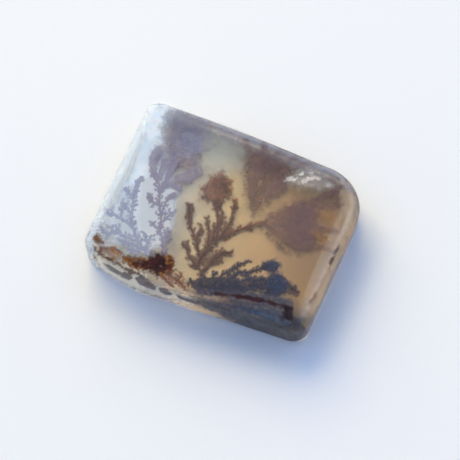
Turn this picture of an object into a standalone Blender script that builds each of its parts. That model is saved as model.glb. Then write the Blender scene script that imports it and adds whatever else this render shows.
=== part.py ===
"""A cut and polished tablet of dendritic agate: one flat free-form stone with rolled edges."""

import math

import bmesh
import bpy
from mathutils import Vector

MM = 0.001

# Corners of the outline seen from above, counter-clockwise from the front left, each with its
# radius: x, y, radius in mm. The second one is only a soft bend in the front side.
CORNERS = (
    (-16.3, -13.5, 3.0),
    (-7.6, -14.8, 20.0),
    (19.0, -12.0, 2.6),
    (18.7, 14.7, 6.8),
    (-18.9, 14.2, 2.2),
)

THICKNESS = 6.0 * MM
END_FALL = 0.3 * MM  # how far the domed top falls from its middle to the ends of the stone
SIDE_FALL = 0.25 * MM  # the same towards the front and the back
ROLL_HEIGHT = 1.6 * MM  # how far down the wall the rolled top edge reaches
FOOT_RADIUS = 0.6 * MM  # rounding where the wall meets the flat base
BACK_BOW = 0.2 * MM  # outward curve of the long back side

# Width of the rolled top edge on each side, in the order of the corners that start the sides.
ROLL_WIDTHS = (1.6 * MM, 1.5 * MM, 2.3 * MM, 1.2 * MM, 1.8 * MM)
SIDE_BOWS = (0.0, 0.0, 0.0, BACK_BOW, 0.0)
LEAST_CORNER = 0.35 * MM  # radius kept by a corner once the roll has eaten into it

CORNER_STEPS = 9
SIDE_STEPS = 14
FOOT_STEPS = 5
ROLL_STEPS = 8
DOME_STEPS = 8

CHALCEDONY = {"colour": (0.55, 0.42, 0.27, 1.0), "roughness": 0.12, "metallic": 0.0}


def clear_scene():
    for thing in list(bpy.data.objects):
        bpy.data.objects.remove(thing, do_unlink=True)


def side_directions(corners):
    """Unit vector along each side, from the corner that starts it to the next one."""
    following = corners[1:] + corners[:1]
    return [(end - start).normalized() for start, end in zip(corners, following)]


def inward(direction):
    return Vector((-direction.y, direction.x))


def moved_in(corners, directions, insets):
    """Corners of the outline after each side has moved inwards by its own inset."""
    moved = []
    for i, corner in enumerate(corners):
        before, after = directions[i - 1], directions[i]
        back = (insets[i] - insets[i - 1] * before.dot(after)) / before.cross(after)
        moved.append(corner - before * back + inward(before) * insets[i - 1])
    return moved


def outline(insets):
    """Points of the outline with each side moved inwards, counter-clockwise from above."""
    sharp = [Vector((x, y)) * MM for x, y, _ in CORNERS]
    directions = side_directions(sharp)
    corners = moved_in(sharp, directions, insets)
    points = []
    count = len(corners)
    radii = [
        max(CORNERS[i][2] * MM - (insets[i - 1] + insets[i]) / 2, LEAST_CORNER)
        for i in range(count)
    ]
    turns = [directions[i - 1].angle(directions[i]) for i in range(count)]
    reaches = [radius * math.tan(turn / 2) for radius, turn in zip(radii, turns)]
    for i in range(count):
        start = corners[i] - directions[i - 1] * reaches[i]
        centre = start + inward(directions[i - 1]) * radii[i]
        first = math.atan2(*(start - centre).yx)
        for step in range(CORNER_STEPS + 1):
            angle = first + turns[i] * step / CORNER_STEPS
            points.append(centre + radii[i] * Vector((math.cos(angle), math.sin(angle))))
        begin = corners[i] + directions[i] * reaches[i]
        after = (i + 1) % count
        end = corners[after] - directions[i] * reaches[after]
        for step in range(1, SIDE_STEPS):
            part = step / SIDE_STEPS
            bow = SIDE_BOWS[i] * (4 * part * (1 - part)) ** 2
            points.append(begin.lerp(end, part) - inward(directions[i]) * bow)
    return points


def placed(points, height):
    """Ring of points at one height, or at the height that a function gives for each."""
    if callable(height):
        return [Vector((*point, height(point))) for point in points]
    return [Vector((*point, height)) for point in points]


def stone_rings():
    """Rings of the stone from its base, up the wall and over the roll to near the middle."""
    rim = outline([0.0] * len(CORNERS))
    xs, ys = [point.x for point in rim], [point.y for point in rim]
    middle = Vector(((min(xs) + max(xs)) / 2, (min(ys) + max(ys)) / 2))
    half_length, half_depth = max(xs) - middle.x, max(ys) - middle.y

    def top(point):
        to_end, to_side = point.x / half_length, point.y / half_depth
        return THICKNESS - END_FALL * to_end**2 - SIDE_FALL * to_side**2

    def centred(insets):
        return [point - middle for point in outline(insets)]

    rings = []
    for step in range(FOOT_STEPS + 1):
        angle = math.pi / 2 * step / FOOT_STEPS
        inset = FOOT_RADIUS * (1 - math.sin(angle))
        rings.append(placed(centred([inset] * len(CORNERS)), FOOT_RADIUS * (1 - math.cos(angle))))
    for step in range(ROLL_STEPS + 1):
        angle = math.pi / 2 * step / ROLL_STEPS
        insets = [width * (1 - math.cos(angle)) for width in ROLL_WIDTHS]
        fall = ROLL_HEIGHT * (1 - math.sin(angle))
        rings.append(placed(centred(insets), lambda point, fall=fall: top(point) - fall))
    edge = centred(ROLL_WIDTHS)
    for step in range(1, DOME_STEPS):
        reach = 1 - step / DOME_STEPS
        rings.append(placed([point * reach for point in edge], top))
    return rings


def build_stone():
    shape = bmesh.new()
    loops = [[shape.verts.new(point) for point in ring] for ring in stone_rings()]
    for lower, upper in zip(loops, loops[1:]):
        for i, corner in enumerate(lower):
            shape.faces.new((lower[i - 1], corner, upper[i], upper[i - 1]))
    shape.faces.new(reversed(loops[0]))
    crown = shape.verts.new((0.0, 0.0, THICKNESS))
    for i, corner in enumerate(loops[-1]):
        shape.faces.new((loops[-1][i - 1], corner, crown))
    mesh = bpy.data.meshes.new("agate_tablet")
    shape.to_mesh(mesh)
    shape.free()
    mesh.shade_smooth()
    return mesh


def polished(name, finish):
    """Principled material of the polished stone."""
    material = bpy.data.materials.new(name)
    material.use_nodes = True
    shader = material.node_tree.nodes["Principled BSDF"]
    shader.inputs["Base Color"].default_value = finish["colour"]
    shader.inputs["Roughness"].default_value = finish["roughness"]
    shader.inputs["Metallic"].default_value = finish["metallic"]
    return material


def main():
    clear_scene()
    mesh = build_stone()
    mesh.materials.append(polished("chalcedony", CHALCEDONY))
    stone = bpy.data.objects.new("agate_tablet", mesh)
    bpy.context.scene.collection.objects.link(stone)


main()
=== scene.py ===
# %% [markdown]
# # A polished tablet of dendritic agate
# The real object is one natural stone: translucent chalcedony, sawn to a free form, domed a little on
# top, rolled at the edges and polished all over. Manganese and iron crept into it long ago and left
# dark ferns that look like moss, trees and smoke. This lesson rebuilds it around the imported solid:
# first the camera and the light, then the stone's skin, then the ferns inside it.

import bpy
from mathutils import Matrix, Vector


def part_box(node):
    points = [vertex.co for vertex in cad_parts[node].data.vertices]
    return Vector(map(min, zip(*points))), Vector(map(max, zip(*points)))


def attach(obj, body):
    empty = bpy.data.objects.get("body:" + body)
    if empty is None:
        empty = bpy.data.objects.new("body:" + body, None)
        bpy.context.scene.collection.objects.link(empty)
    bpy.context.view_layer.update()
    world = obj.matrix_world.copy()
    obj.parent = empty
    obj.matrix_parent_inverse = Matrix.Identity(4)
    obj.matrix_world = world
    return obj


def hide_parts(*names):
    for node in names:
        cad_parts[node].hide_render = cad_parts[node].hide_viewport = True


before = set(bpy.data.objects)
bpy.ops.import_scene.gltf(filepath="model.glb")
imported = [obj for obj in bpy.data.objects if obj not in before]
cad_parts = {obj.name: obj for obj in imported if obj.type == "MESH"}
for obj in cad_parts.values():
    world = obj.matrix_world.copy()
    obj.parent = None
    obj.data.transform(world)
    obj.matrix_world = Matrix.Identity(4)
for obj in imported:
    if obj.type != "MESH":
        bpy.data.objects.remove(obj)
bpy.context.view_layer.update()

import math

import bpy
import numpy as np
from mathutils import Vector
from mathutils.bvhtree import BVHTree

MM = 0.001
low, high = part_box("agate_tablet")
print("stone measures", [round((b - a) / MM, 2) for a, b in zip(low, high)], "mm")

# %% [markdown]
# ## Short words
# A few moves come back all through the lesson: a thing joins the scene, points and faces become a
# mesh, a material gets its shader, a node is joined to others. Each has a short word of its own.

# %% Words for things


def add_object(name, data):
    """A new object in the scene."""
    thing = bpy.data.objects.new(name, data)
    bpy.context.scene.collection.objects.link(thing)
    return thing


def mesh_piece(name, points, faces, material):
    """A new mesh object, shaded smooth, with its place in its points."""
    mesh = bpy.data.meshes.new(name)
    mesh.from_pydata([tuple(p) for p in points], [], [tuple(f) for f in faces])
    mesh.shade_smooth()
    mesh.materials.append(material)
    return add_object(name, mesh)


def add_layer(mesh, name, values):
    """A value for each point, which materials read as an attribute."""
    layer = mesh.attributes.new(name, "FLOAT", "POINT")
    layer.data.foreach_set("value", np.asarray(values, np.float32))


def new_material(name, sockets):
    """A material with some sockets of its shader set; its tree and its shader come along."""
    material = bpy.data.materials.new(name)
    material.use_nodes = True
    shader = material.node_tree.nodes["Principled BSDF"]
    for key, value in sockets.items():
        shader.inputs[key].default_value = value
    return material, material.node_tree, shader


# %% Words for nodes
MIX_A, MIX_B, MIX_RESULT = 6, 7, 2  # the colour sockets of a Mix node


def put(tree, kind, sockets=None, **settings):
    """Adds a node; each socket gets a value or is joined to another node's output."""
    made = tree.nodes.new(kind)
    for name, value in settings.items():
        setattr(made, name, value)
    for key, value in (sockets or {}).items():
        if isinstance(value, bpy.types.NodeSocket):
            tree.links.new(value, made.inputs[key])
        else:
            made.inputs[key].default_value = value
    return made


def maths(tree, operation, *values, clamp=False):
    """Sum or product of numbers and other nodes' outputs."""
    made = put(tree, "ShaderNodeMath", dict(enumerate(values)), operation=operation, use_clamp=clamp)
    return made.outputs[0]


def vectors(tree, operation, sockets):
    """Outputs of the same kind of sum on vectors."""
    return put(tree, "ShaderNodeVectorMath", sockets, operation=operation).outputs


def mixed(tree, factor, first, second):
    """Colour between two others, each three numbers or another node's output."""
    first, second = ((*end, 1.0) if isinstance(end, tuple) else end for end in (first, second))
    made = put(tree, "ShaderNodeMix", {0: factor, MIX_A: first, MIX_B: second}, data_type="RGBA")
    return made.outputs[MIX_RESULT]


def eased(tree, value, start, end, first=0.0, last=1.0):
    """Runs softly from first to last while the value runs from start to end."""
    sockets = {"Value": value, "From Min": start, "From Max": end, "To Min": first, "To Max": last}
    made = put(tree, "ShaderNodeMapRange", sockets, interpolation_type="SMOOTHSTEP")
    return made.outputs["Result"]


def noise(tree, scale, detail, roughness=0.5):
    """Outputs of a noise over the object's own coordinates."""
    place = put(tree, "ShaderNodeTexCoord").outputs["Object"]
    sockets = {"Vector": place, "Scale": scale, "Detail": detail, "Roughness": roughness}
    return put(tree, "ShaderNodeTexNoise", sockets).outputs


def layer_value(tree, name):
    """What a mesh's layer says at the place that is shaded."""
    return put(tree, "ShaderNodeAttribute", attribute_name=name).outputs["Fac"]


# %% [markdown]
# ## The camera
# The photo looks down on the stone from the front right with a long lens. A camera is an eye, a
# direction and a focal length, so we aim it with one vector: the way back from the stone to the eye.
# The same numbers let us turn a place in the photo into a place inside the stone later on.

# %% Place the camera
PHOTO_SIZE = 460
VIEW_AZIMUTH = math.radians(25.5)
VIEW_ELEVATION = math.radians(63.1)
LENS, SENSOR = 85.0, 36.0
VIEW_DISTANCE = 162.6 * MM
LOOK_AT = Vector((1.88, -0.77, 3.0)) * MM

back = Vector((
    math.sin(VIEW_AZIMUTH) * math.cos(VIEW_ELEVATION),
    -math.cos(VIEW_AZIMUTH) * math.cos(VIEW_ELEVATION),
    math.sin(VIEW_ELEVATION),
))
eye = LOOK_AT + back * VIEW_DISTANCE

camera = add_object("camera", bpy.data.cameras.new("camera"))
camera.data.lens, camera.data.sensor_width = LENS, SENSOR
camera.data.clip_start = 1 * MM
camera.location = eye
camera.rotation_euler = back.to_track_quat("Z", "Y").to_euler()
bpy.context.scene.camera = camera
print("camera stands", round(VIEW_DISTANCE / MM), "mm away")

# %% [markdown]
# ## Floor and light
# The stone lies on a smooth white surface near a window. The light is soft, comes from the back left
# and throws a lavender-blue shadow towards the viewer. One large area lamp stands for the window and
# a bluish sky fills the shadow. The sky is paler near the horizon, so that the polished edges have
# something bright to mirror, and dim straight overhead, because the flat top mirrors that part and
# the ferns under it must stay dark.
# How strongly a window lights a room and how bright it looks in a polished edge are two questions.
# So the big lamp only lights, and two weak lamps are only mirrored: one in the window's place, one
# on the right where the room throws light back.

# %% Lay the floor
FLOOR_SIDE = 3000 * MM
FLOOR_GAP = 0.03 * MM  # a hair of air, so that the base of the stone and the floor are two surfaces
FLOOR_LOOK = {"Base Color": (0.90, 0.92, 0.93, 1.0), "Roughness": 0.9}

reach = FLOOR_SIDE / 2
floor = mesh_piece(
    "floor",
    [(x * reach, y * reach, -FLOOR_GAP) for x, y in ((-1, -1), (1, -1), (1, 1), (-1, 1))],
    [(0, 1, 2, 3)],
    new_material("white_surface", FLOOR_LOOK)[0],
)

# %% Hang the lamps
LAMP_FAR = 1500 * MM
WINDOW_WAY, WINDOW_SIZE = (-0.60, 0.54, 0.44), (1300 * MM, 900 * MM)
WINDOW_POWER = 28.0
GLINT_POWER = 11.0  # what the polish mirrors of the window
SIDE_WAY, SIDE_SIZE = (0.56, 0.41, 0.72), (560 * MM, 700 * MM)
SIDE_POWER = 3.2


def area_lamp(name, way, size, power, colour):
    """A rectangular lamp far out on some way, which looks back at the stone."""
    lamp = add_object(name, bpy.data.lights.new(name, "AREA"))
    lamp.data.shape = "RECTANGLE"
    lamp.data.size, lamp.data.size_y = size
    lamp.data.energy = power
    lamp.data.color = colour
    way = Vector(way).normalized()
    lamp.location = way * LAMP_FAR
    lamp.rotation_euler = way.to_track_quat("Z", "Y").to_euler()
    return lamp


window = area_lamp("window", WINDOW_WAY, WINDOW_SIZE, WINDOW_POWER, (1.0, 0.77, 0.25))
window.visible_glossy = False
glint = area_lamp("window_glint", WINDOW_WAY, WINDOW_SIZE, GLINT_POWER, (0.84, 0.95, 1.0))
side_window = area_lamp("side_window", SIDE_WAY, SIDE_SIZE, SIDE_POWER, (0.80, 0.82, 1.0))
for lamp in (glint, side_window):
    lamp.visible_diffuse = False
    lamp.visible_transmission = False

# %% Paint the sky
SKY_BRIGHT = (1.00, 1.33, 2.14)  # towards the window
SKY_DIM = (0.36, 0.45, 0.67)  # the room behind the viewer
SKY_WAY = (-0.68, 0.73, 0.0)
SKY_TURN = (-0.5, 0.75)  # cosine of the angle to that way where the sky is dim and where it is bright
HORIZON_COLOUR = (0.95, 1.12, 1.46)
HORIZON_TOP = 0.22  # sine of the height above the horizon where the sky has its full colour
CEILING_COLOUR = (0.19, 0.23, 0.32)
CEILING = (0.66, 0.84)  # the same for the dim ceiling that the flat top mirrors: its start and full dark


def paint_sky():
    world = bpy.data.worlds.new("room")
    world.use_nodes = True
    tree = world.node_tree
    way = put(tree, "ShaderNodeTexCoord").outputs["Generated"]
    height = put(tree, "ShaderNodeSeparateXYZ", {0: way}).outputs["Z"]
    toward = vectors(tree, "DOT_PRODUCT", {0: way, 1: SKY_WAY})["Value"]
    sky = mixed(tree, eased(tree, toward, *SKY_TURN), SKY_DIM, SKY_BRIGHT)
    sky = mixed(tree, eased(tree, height, 0.0, HORIZON_TOP), HORIZON_COLOUR, sky)
    sky = mixed(tree, eased(tree, height, *CEILING), sky, CEILING_COLOUR)
    tree.links.new(sky, tree.nodes["Background"].inputs["Color"])
    bpy.context.scene.world = world


paint_sky()
bpy.context.scene.view_settings.view_transform = "Standard"

# %% [markdown]
# ## Light that goes through the stone
# Most of the light under a clear stone came through it. Cycles normally blurs and trims such light to
# keep pictures clean, and then the floor under a clear slab comes out half as bright as it should be.
# We switch that off, and let light bounce often enough between the ferns, the floor and the skin.

# %% Let light through
cycles = bpy.context.scene.cycles
cycles.blur_glossy = 0.0
cycles.max_bounces = 64
cycles.diffuse_bounces = 32
cycles.transmission_bounces = 48
cycles.transparent_max_bounces = 64

# %% [markdown]
# ## The skin of the stone
# The outline is five straight or barely bowed sides joined by arcs. Moving every side inwards by its
# own amount and drawing the outline again gives the next ring up, so the foot, the wall, the rolled
# edge and the domed top are all one stack of rings. It is the same rule as the solid's, with many
# more steps, so that the polish has no facets.

# %% Rings of the outline
CORNERS = (
    (-16.3, -13.5, 3.0),
    (-7.6, -14.8, 20.0),
    (19.0, -12.0, 2.6),
    (18.7, 14.7, 6.8),
    (-18.9, 14.2, 2.2),
)
THICKNESS = 6.0
END_FALL, SIDE_FALL = 0.3, 0.25
ROLL_HEIGHT, FOOT_RADIUS, LEAST_CORNER = 1.6, 0.6, 0.35
ROLL_WIDTHS = (1.6, 1.5, 2.3, 1.2, 1.8)
SIDE_BOWS = (0.0, 0.0, 0.0, 0.2, 0.0)
CORNER_STEPS, SIDE_STEPS = 22, 46


def outline(insets):
    """Points of the outline in mm, counter-clockwise, with each side moved in by its inset."""
    sharp = np.array([corner[:2] for corner in CORNERS])
    count = len(sharp)
    along = np.roll(sharp, -1, axis=0) - sharp
    along /= np.linalg.norm(along, axis=1)[:, None]
    inward = np.stack([-along[:, 1], along[:, 0]], axis=1)
    radii = [max(CORNERS[i][2] - (insets[i - 1] + insets[i]) / 2, LEAST_CORNER) for i in range(count)]
    turns = [math.acos(along[i - 1] @ along[i]) for i in range(count)]
    reaches = [radius * math.tan(turn / 2) for radius, turn in zip(radii, turns)]
    corners = []
    for i in range(count):
        pull = (insets[i] - insets[i - 1] * (along[i - 1] @ along[i])) / math.sin(turns[i])
        corners.append(sharp[i] - along[i - 1] * pull + inward[i - 1] * insets[i - 1])
    points = []
    for i in range(count):
        start = corners[i] - along[i - 1] * reaches[i]
        centre = start + inward[i - 1] * radii[i]
        spoke = start - centre
        first = math.atan2(spoke[1], spoke[0])
        for step in range(CORNER_STEPS + 1):
            angle = first + turns[i] * step / CORNER_STEPS
            points.append(centre + radii[i] * np.array((math.cos(angle), math.sin(angle))))
        begin = corners[i] + along[i] * reaches[i]
        after = (i + 1) % count
        end = corners[after] - along[i] * reaches[after]
        for step in range(1, SIDE_STEPS):
            part = step / SIDE_STEPS
            bow = SIDE_BOWS[i] * (4 * part * (1 - part)) ** 2
            points.append(begin + (end - begin) * part - inward[i] * bow)
    return np.array(points)


rim = outline([0.0] * len(CORNERS))
MIDDLE = (rim.min(0) + rim.max(0)) / 2
HALF = (rim.max(0) - rim.min(0)) / 2
print("outline has", len(rim), "points,", np.round(2 * HALF, 2), "mm across")

# %% Stack the rings
FOOT_STEPS, WALL_STEPS, ROLL_STEPS, DOME_STEPS = 8, 6, 18, 40


def top_height(x, y):
    """Height of the polished dome in mm over a point of the stone."""
    return THICKNESS - END_FALL * (x / HALF[0]) ** 2 - SIDE_FALL * (y / HALF[1]) ** 2


def ring(insets, height):
    flat = outline(insets) - MIDDLE
    return np.column_stack([flat, height(flat[:, 0], flat[:, 1])])


def stone_rings():
    """All rings from the base, up the wall, over the roll and in to near the middle."""
    rings = []
    for step in range(FOOT_STEPS + 1):
        angle = math.pi / 2 * step / FOOT_STEPS
        lift = FOOT_RADIUS * (1 - math.cos(angle))
        inset = FOOT_RADIUS * (1 - math.sin(angle))
        rings.append(ring([inset] * len(CORNERS), lambda x, y: np.full(len(x), lift)))
    foot = rings[-1]
    shoulder = ring([0.0] * len(CORNERS), lambda x, y: top_height(x, y) - ROLL_HEIGHT)
    for step in range(1, WALL_STEPS):
        rings.append(foot + (shoulder - foot) * step / WALL_STEPS)
    for step in range(ROLL_STEPS + 1):
        angle = math.pi / 2 * step / ROLL_STEPS
        insets = [width * (1 - math.cos(angle)) for width in ROLL_WIDTHS]
        fall = ROLL_HEIGHT * (1 - math.sin(angle))
        rings.append(ring(insets, lambda x, y: top_height(x, y) - fall))
    edge = rings[-1][:, :2]
    for step in range(1, DOME_STEPS):
        flat = edge * (1 - step / DOME_STEPS)
        rings.append(np.column_stack([flat, top_height(flat[:, 0], flat[:, 1])]))
    return rings


def closed_skin(rings, top, bottom):
    """Points and faces of stacked rings, closed by a fan at each end."""
    count = len(rings[0])
    points = np.concatenate(rings + [np.array([top, bottom])])
    faces = []
    for level in range(len(rings) - 1):
        here, above = level * count, (level + 1) * count
        for i in range(count):
            j = (i + 1) % count
            faces.append((here + i, here + j, above + j, above + i))
    crown, base = len(points) - 2, len(points) - 1
    last = (len(rings) - 1) * count
    for i in range(count):
        j = (i + 1) % count
        faces.append((last + i, last + j, crown))
        faces.append((j, i, base))
    return points, faces


skin_points, skin_faces = closed_skin(stone_rings(), (0, 0, THICKNESS), (0, 0, 0))
FIRST_ROLL = FOOT_STEPS + WALL_STEPS  # ring where the rolled edge begins
levels = np.arange(len(skin_points) - 2) // len(rim)
edge_share = np.clip((FIRST_ROLL + ROLL_STEPS - levels) / ROLL_STEPS, 0, 1)  # 0 on the dome, 1 below
print("skin has", len(skin_faces), "faces")

# %% [markdown]
# ## From the photo into the stone
# A pixel of the photo is a ray. It meets the polished skin, bends there as light bends when it enters
# chalcedony, and runs on down. So a place in the photo and a depth under the skin give one point
# inside the stone. The skin itself says where the ray goes in, rolled edges included.

# %% Follow a ray of the photo
STONE_IOR = 1.54
FOCAL = LENS / SENSOR * PHOTO_SIZE
FLOOR_MARGIN = 0.25  # mm of clear stone that a ray leaves before the far side
LEAST_RUN = 0.05  # mm that a ray goes in at least
NEAR_MISS = 0.3  # mm by which a ray may pass the foot of a wall and still count

right = Vector((math.cos(VIEW_AZIMUTH), math.sin(VIEW_AZIMUTH), 0))
up = back.cross(right)
skin_tree = BVHTree.FromPolygons([tuple(p) for p in skin_points], skin_faces)


def bent(direction, normal):
    """Direction of a ray once it has entered the stone."""
    cosine = -direction.dot(normal)
    root = 1 - (1 - cosine**2) / STONE_IOR**2
    return direction / STONE_IOR + normal * (cosine / STONE_IOR - math.sqrt(root))


def inside(pixel, depth):
    """Point in mm that the photo shows at a pixel, so many mm under the skin (over it if negative)."""
    x, y = pixel[0] - PHOTO_SIZE / 2, pixel[1] - PHOTO_SIZE / 2
    ray = (-back + right * (x / FOCAL) - up * (y / FOCAL)).normalized()
    hit, normal, _, _ = skin_tree.ray_cast(eye / MM, ray)
    if hit is None:
        on_floor = eye / MM - ray * (eye.z / MM / ray.z)
        hit, normal, _, _ = skin_tree.find_nearest(on_floor, NEAR_MISS)
    if hit is None:
        return None
    if depth < 0:
        return hit - normal * depth
    way = bent(ray, normal)
    _, _, _, run = skin_tree.ray_cast(hit + way * FLOOR_MARGIN, way)
    return hit + way * max(LEAST_RUN, min(depth / -way.z, run or 0.0))


print("middle of the photo is", [round(v, 2) for v in inside((230, 230), 1.0)], "mm, 1 mm down")

# %% [markdown]
# ## Chalcedony
# The body is clear like honey but a little milky, bluish-white at the left end and amber at the
# right, with soft smoky and rusty stains. It is built as glass: plain transmission, the mineral's own
# index of refraction and a light amber absorption, so that it bends and colours what lies inside.
# The stains are soft round spots laid over a long gradient. A node group mixes them from the
# object's own coordinates, bent a little by noise, so that no edge looks drawn.

# %% The stains
GRADIENT = (  # x in mm along the stone, colour
    (-19.0, (0.97, 0.99, 1.0)),
    (-12.0, (0.98, 0.98, 0.98)),
    (-7.0, (0.95, 0.91, 0.83)),
    (-3.0, (0.91, 0.82, 0.66)),
    (4.0, (0.85, 0.71, 0.515)),
    (10.0, (0.81, 0.66, 0.49)),
    (15.0, (0.74, 0.60, 0.44)),
    (19.0, (0.70, 0.57, 0.43)),
)
STAINS = (  # name, pixel of the photo, depth, radii in mm, turn in degrees, colour, strength
    ("green_haze", (214, 148), 3.0, (5.0, 3.6, 30), 20, (0.88, 0.88, 0.80), 0.9),
    ("honey_glow", (230, 196), 3.0, (2.6, 4.4, 30), 10, (0.97, 0.83, 0.58), 0.8),
    ("smoke_crown", (185, 130), 3.0, (4.0, 4.0, 30), 0, (0.80, 0.82, 0.88), 0.5),
    ("slate_front", (258, 310), 2.0, (8.4, 2.4, 30), 10, (0.66, 0.66, 0.70), 0.8),
)
STAIN_FADE = (0.35, 1.25)  # share of its radii where a stain starts to fade and where it is gone
STAIN_WARP = 1.6 * MM
WARP_SCALE = 210.0


def stain_group():
    """Colour of the stone over its whole body, from its own coordinates."""
    tree = bpy.data.node_groups.new("stone_stains", "ShaderNodeTree")
    tree.interface.new_socket("Warp", in_out="INPUT", socket_type="NodeSocketFloat")
    tree.interface.new_socket("Colour", in_out="OUTPUT", socket_type="NodeSocketColor")
    given = put(tree, "NodeGroupInput")
    result = put(tree, "NodeGroupOutput")
    place = put(tree, "ShaderNodeTexCoord").outputs["Object"]
    waves = noise(tree, WARP_SCALE, 3.0)["Color"]
    centred = vectors(tree, "SUBTRACT", {0: waves, 1: (0.5, 0.5, 0.5)})[0]
    shift = vectors(tree, "SCALE", {0: centred, "Scale": given.outputs["Warp"]})[0]
    warped = vectors(tree, "ADD", {0: place, 1: shift})[0]
    along = put(tree, "ShaderNodeSeparateXYZ", {0: warped}).outputs["X"]
    first, last = GRADIENT[0][0], GRADIENT[-1][0]
    ends = {"Value": along, "From Min": first * MM, "From Max": last * MM}
    ramp = put(tree, "ShaderNodeValToRGB", {0: put(tree, "ShaderNodeMapRange", ends).outputs["Result"]})
    for x, colour in GRADIENT[1:-1]:
        ramp.color_ramp.elements.new((x - first) / (last - first)).color = (*colour, 1)
    ramp.color_ramp.elements[0].color = (*GRADIENT[0][1], 1)
    ramp.color_ramp.elements[-1].color = (*GRADIENT[-1][1], 1)
    colour = ramp.outputs["Color"]
    for name, pixel, depth, radii, turn, tint, strength in STAINS:
        sockets = {
            "Vector": warped,
            "Location": inside(pixel, depth) * MM,
            "Rotation": (0, 0, math.radians(turn)),
            "Scale": [radius * MM for radius in radii],
        }
        local = put(tree, "ShaderNodeMapping", sockets, vector_type="TEXTURE", label=name)
        away = vectors(tree, "LENGTH", {0: local.outputs[0]})["Value"]
        colour = mixed(tree, eased(tree, away, *STAIN_FADE, strength, 0.0), colour, tint)
    tree.links.new(colour, result.inputs["Colour"])
    return tree


stains = stain_group()
print("stains use", len(stains.nodes), "nodes")

# %% The polished stone
TOP_ROUGHNESS, EDGE_ROUGHNESS = 0.07, 0.26
CLEARNESS = 0.96
AMBER = (0.80, 0.65, 0.45, 1.0)
AMBER_DENSITY = 20.0


def chalcedony():
    """Clear stone: bright polish on the top, a softer one on the rolled edge, amber all through."""
    sockets = {"IOR": STONE_IOR, "Transmission Weight": CLEARNESS}
    material, tree, shader = new_material("chalcedony", sockets)
    colour = put(tree, "ShaderNodeGroup", node_tree=stains)
    colour.inputs["Warp"].default_value = STAIN_WARP
    tree.links.new(colour.outputs["Colour"], shader.inputs["Base Color"])
    polish = eased(tree, layer_value(tree, "edge"), 0.0, 1.0, TOP_ROUGHNESS, EDGE_ROUGHNESS)
    tree.links.new(polish, shader.inputs["Roughness"])
    absorb = put(tree, "ShaderNodeVolumeAbsorption", {"Color": AMBER, "Density": AMBER_DENSITY})
    tree.links.new(absorb.outputs["Volume"], tree.nodes["Material Output"].inputs["Volume"])
    return material


stone = mesh_piece("agate_stone", skin_points * MM, skin_faces, chalcedony())
add_layer(stone.data, "edge", np.concatenate([edge_share, [0, 1]]))
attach(stone, "root")
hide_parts("agate_tablet")
print("stone has", len(stone.data.polygons), "faces")

# %% [markdown]
# ## Colour under polish
# A colour looks darker under polish than dry, as a pebble does when it gets wet, because the skin
# throws part of the light back in. So we say what colour we want to see, in the photo's own 0 to 255,
# and work out the paler colour that the mineral needs.

# %% From seen colour to mineral colour
SKIN_LETS_OUT = 0.4  # share of scattered light that leaves a polished skin at the first try


def seen(*photo_colour):
    """Mineral colour that shows as this red, green and blue of the photo through the polish."""
    colour = []
    for value in photo_colour:
        value /= 255
        linear = value / 12.92 if value < 0.04045 else ((value + 0.055) / 1.055) ** 2.4
        colour.append(linear / (SKIN_LETS_OUT + (1 - SKIN_LETS_OUT) * linear))
    return tuple(colour)


print("mid grey must be", [round(v, 2) for v in seen(128, 128, 128)])

# %% [markdown]
# ## Clouds in the stone
# Smoke, milk and bands have no outline: they are colour that thickens and thins. Each is one thin
# sheet that follows the polished skin at some depth. Every point of the sheet carries its own
# opacity, worked out from soft shapes in the photo's frame, and the material adds fine mottling.
# Where the mineral comes right up to the polish, the sheet lies on the skin as a film thinner than a
# hair and has the polish itself. A sheet inside is dim, because light must pass the skin twice to
# reach it and come back. A film shows its own colour.

# %% A sheet under the skin
SHEET_STEP = 0.15  # mm between the points of a sheet
PX = 6.7  # pixels of the photo for one millimetre of the stone
LEAST_DEPTH = 0.06  # mm
WAVY_DEPTH = 1.2  # mm, deeper sheets are no wavier than one at this depth
FAINTEST = 0.02  # a face has a corner with more opacity than this


def cloud_piece(name, points, opacities, tones, faces, material):
    """Piece from the faces and from those points that they use, with an opacity and a tone each."""
    used = sorted({k for face in faces for k in face})
    place = {k: n for n, k in enumerate(used)}
    faces = [[place[k] for k in face] for face in faces]
    piece = mesh_piece(name, [points[k] * MM for k in used], faces, material)
    add_layer(piece.data, "cloud", [opacities[k] for k in used])
    add_layer(piece.data, "tone", [tones[k] for k in used])
    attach(piece, "root")
    print(name, "has", len(faces), "faces")


def sheet(name, opacity, tone, origin, depth, material, step=SHEET_STEP):
    """Piece over a grid of opacities whose first point is at origin, in mm of the photo's plane."""
    rows, columns = opacity.shape
    numbers, points, opacities, tones, faces = {}, [], [], [], []
    for i in range(rows):
        for j in range(columns):
            x, y = origin[0] + j * step, origin[1] + i * step
            under = depth
            if depth >= 0:
                wave = 0.12 * math.sin(1.3 * x + 0.7 * y) + 0.1 * math.sin(0.9 * y - 0.5 * x)
                under = max(LEAST_DEPTH, depth + min(depth, WAVY_DEPTH) * wave)
            spot = inside((x * PX, y * PX), under)
            if spot is not None:
                spot.z = max(spot.z, FLOOR_MARGIN / 2)
                numbers[i, j] = len(points)
                points.append(spot)
                opacities.append(opacity[i, j])
                tones.append(tone[i, j])
    for i in range(rows - 1):
        for j in range(columns - 1):
            corners = [(i + 1, j), (i + 1, j + 1), (i, j + 1), (i, j)]
            if max(opacity[c] for c in corners) > FAINTEST and all(c in numbers for c in corners):
                faces.append([numbers[c] for c in corners])
    cloud_piece(name, points, opacities, tones, faces, material)


# %% How clouds are coloured


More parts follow.
